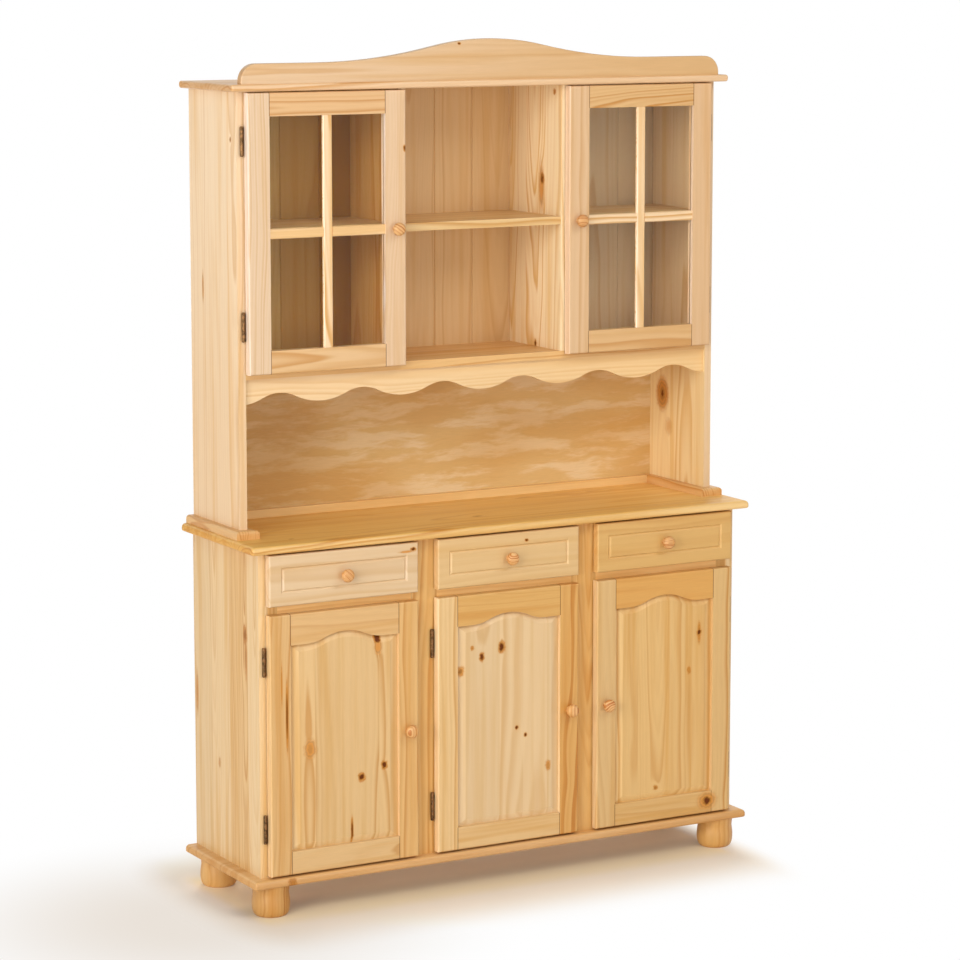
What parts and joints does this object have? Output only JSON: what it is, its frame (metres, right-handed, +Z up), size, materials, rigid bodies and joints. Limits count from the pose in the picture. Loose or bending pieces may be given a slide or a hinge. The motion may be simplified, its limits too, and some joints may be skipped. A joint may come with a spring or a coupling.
{
  "type": "kitchen dresser",
  "caption": "Free-standing pine dresser: drawers over arched raised-panel doors, and a hutch with glazed doors beside an open bay, a scalloped valance, a shaped crest and bun feet.",
  "frame": {"origin": "on the floor, in the middle of the footprint, knobs included", "axes": "+X to the right seen from the front, -Y is the front, +Z is up"},
  "size_m": [1.3, 0.3898, 1.9315],
  "materials": {
    "pine": "satin",
    "plywood": "satin",
    "glass": "gloss",
    "hinge_metal": "satin"
  },
  "bodies": {
    "carcass": {"front_feet": "pine", "back_feet": "pine", "bottom_board": "pine", "base_side_left": "pine", "base_side_right": "pine", "base_partition_left": "pine", "base_partition_right": "pine", "worktop": "pine", "front_stiles": "pine", "drawer_rails": "pine", "base_shelves": "pine", "drawer_runners": "pine", "hutch_shoes": "pine", "plate_rail": "pine", "hutch_side_left": "pine", "hutch_side_right": "pine", "hutch_partition_left": "pine", "hutch_partition_right": "pine", "hutch_hinge_stiles": "pine", "hutch_floor": "pine", "hutch_shelves": "pine", "back_boards": "pine", "valance": "pine", "cornice_board": "pine", "crest_board": "pine", "base_back": "plywood", "plate_back": "plywood", "hinge_frame_leaves": "hinge_metal", "hinge_pins": "hinge_metal"},
    "door_left": {"door_left_frame": "pine", "door_left_panel": "pine", "door_left_knob": "pine", "door_left_hinges": "hinge_metal"},
    "door_middle": {"door_middle_frame": "pine", "door_middle_panel": "pine", "door_middle_knob": "pine", "door_middle_hinges": "hinge_metal"},
    "door_right": {"door_right_frame": "pine", "door_right_panel": "pine", "door_right_knob": "pine", "door_right_hinges": "hinge_metal"},
    "glass_door_left": {"glass_door_left_frame": "pine", "glass_door_left_muntins": "pine", "glass_door_left_pane": "glass", "glass_door_left_knob": "pine", "glass_door_left_hinges": "hinge_metal"},
    "glass_door_right": {"glass_door_right_frame": "pine", "glass_door_right_muntins": "pine", "glass_door_right_pane": "glass", "glass_door_right_knob": "pine", "glass_door_right_hinges": "hinge_metal"},
    "drawer_left": {"drawer_left_front": "pine", "drawer_left_box": "pine", "drawer_left_knob": "pine"},
    "drawer_middle": {"drawer_middle_front": "pine", "drawer_middle_box": "pine", "drawer_middle_knob": "pine"},
    "drawer_right": {"drawer_right_front": "pine", "drawer_right_box": "pine", "drawer_right_knob": "pine"}
  },
  "joints": [
    {"name": "door_left_hinge", "type": "hinge", "parent": "carcass", "child": "door_left", "pos_m": [-0.612, -0.1504, 0.3875], "axis": [0, 0, -1], "range_deg": [0, 110]},
    {"name": "door_middle_hinge", "type": "hinge", "parent": "carcass", "child": "door_middle", "pos_m": [-0.1915, -0.1504, 0.3875], "axis": [0, 0, -1], "range_deg": [0, 100]},
    {"name": "door_right_hinge", "type": "hinge", "parent": "carcass", "child": "door_right", "pos_m": [0.612, -0.1504, 0.3875], "axis": [0, 0, 1], "range_deg": [0, 110]},
    {"name": "glass_door_left_hinge", "type": "hinge", "parent": "carcass", "child": "glass_door_left", "pos_m": [-0.6085, -0.0554, 1.51175], "axis": [0, 0, -1], "range_deg": [0, 110]},
    {"name": "glass_door_right_hinge", "type": "hinge", "parent": "carcass", "child": "glass_door_right", "pos_m": [0.6085, -0.0554, 1.51175], "axis": [0, 0, 1], "range_deg": [0, 110]},
    {"name": "drawer_left_slide", "type": "slide", "parent": "carcass", "child": "drawer_left", "axis": [0, -1, 0], "range_m": [0, 0.22]},
    {"name": "drawer_middle_slide", "type": "slide", "parent": "carcass", "child": "drawer_middle", "axis": [0, -1, 0], "range_m": [0, 0.22]},
    {"name": "drawer_right_slide", "type": "slide", "parent": "carcass", "child": "drawer_right", "axis": [0, -1, 0], "range_m": [0, 0.22]}
  ]
}
